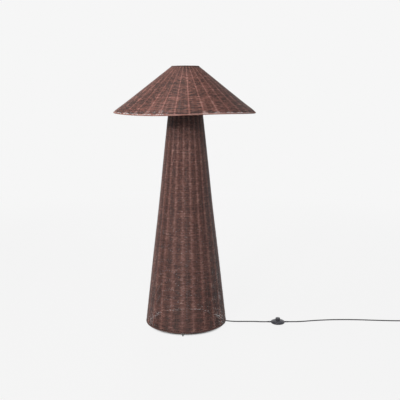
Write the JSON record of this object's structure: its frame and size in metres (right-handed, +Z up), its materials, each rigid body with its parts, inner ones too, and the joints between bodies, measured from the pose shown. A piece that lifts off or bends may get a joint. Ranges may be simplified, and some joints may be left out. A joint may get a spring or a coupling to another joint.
{
  "type": "rattan floor lamp",
  "caption": "Floor lamp with a tall woven rattan cone as its base and a wide, shallow woven rattan cone as its shade, with a lead and a round foot switch.",
  "frame": {"origin": "on the floor, at the lamp's upright axis", "axes": "+Z up along the lamp's axis, +X towards the side where the lead leaves, -Y towards the front"},
  "size_m": [1.8835, 0.7864, 1.48],
  "materials": {
    "base_weave": "woven rattan, matt brown stain",
    "shade_weave": "woven rattan, matt lighter brown stain",
    "frame_steel": "matt dark brown paint",
    "plate_steel": "matt dark brown paint",
    "foot_plastic": "satin grey",
    "zinc_steel": "zinc plated",
    "holder_plastic": "satin black",
    "insert_ceramic": "unglazed white",
    "brass": "satin",
    "bulb_glass": "frosted white",
    "cord_sheath": "matt dark grey",
    "switch_plastic": "half gloss dark grey",
    "button_plastic": "half gloss dark grey"
  },
  "bodies": {
    "lamp": {"base_wicker": "base_weave", "base_bottom_border": "base_weave", "base_top_border": "base_weave", "base_frame": "frame_steel", "foot_right": "foot_plastic", "foot_back": "foot_plastic", "foot_left": "foot_plastic", "foot_front": "foot_plastic", "base_plate": "plate_steel", "ring_clamp_1": "frame_steel", "ring_clamp_2": "frame_steel", "ring_clamp_3": "frame_steel", "ring_clamp_4": "frame_steel", "ring_clamp_screw_1": "zinc_steel", "ring_clamp_screw_2": "zinc_steel", "ring_clamp_screw_3": "zinc_steel", "ring_clamp_screw_4": "zinc_steel", "cord_clamp": "zinc_steel", "cord_clamp_screw_1": "zinc_steel", "cord_clamp_screw_2": "zinc_steel", "stem": "zinc_steel", "stem_nut_1": "zinc_steel", "stem_nut_2": "zinc_steel", "stem_nut_3": "zinc_steel", "stem_nut_4": "zinc_steel", "neck_plate": "plate_steel", "holder_cap": "holder_plastic", "holder_body": "holder_plastic", "holder_insert": "insert_ceramic", "shade_nut_lower": "holder_plastic", "shade_nut_upper": "holder_plastic", "bulb_cap": "brass", "bulb_glass": "bulb_glass", "shade_wicker": "shade_weave", "shade_rim_border": "shade_weave", "shade_top_border": "shade_weave", "shade_frame": "frame_steel", "shade_spider": "frame_steel", "lead_inside": "cord_sheath", "cord_lamp_to_switch": "cord_sheath", "cord_switch_to_coil": "cord_sheath", "cord_coil": "cord_sheath", "cord_coil_to_plug": "cord_sheath", "switch_lower_shell": "switch_plastic", "switch_upper_shell": "switch_plastic", "switch_spring": "zinc_steel", "switch_block": "insert_ceramic", "switch_screw_1": "zinc_steel", "switch_screw_2": "zinc_steel", "switch_screw_3": "zinc_steel", "switch_bush_in": "cord_sheath", "switch_bush_out": "cord_sheath", "plug_body": "switch_plastic", "plug_pin_1": "brass", "plug_pin_2": "brass"},
    "button": {"switch_button": "button_plastic"}
  },
  "joints": [
    {"name": "switch_press", "type": "slide", "parent": "lamp", "child": "button", "axis": [0, 0, 1], "range_m": [-0.0035, 0], "stiffness_N_per_m": 400, "springref_m": 0.003, "deforming": ["switch_spring"]}
  ]
}
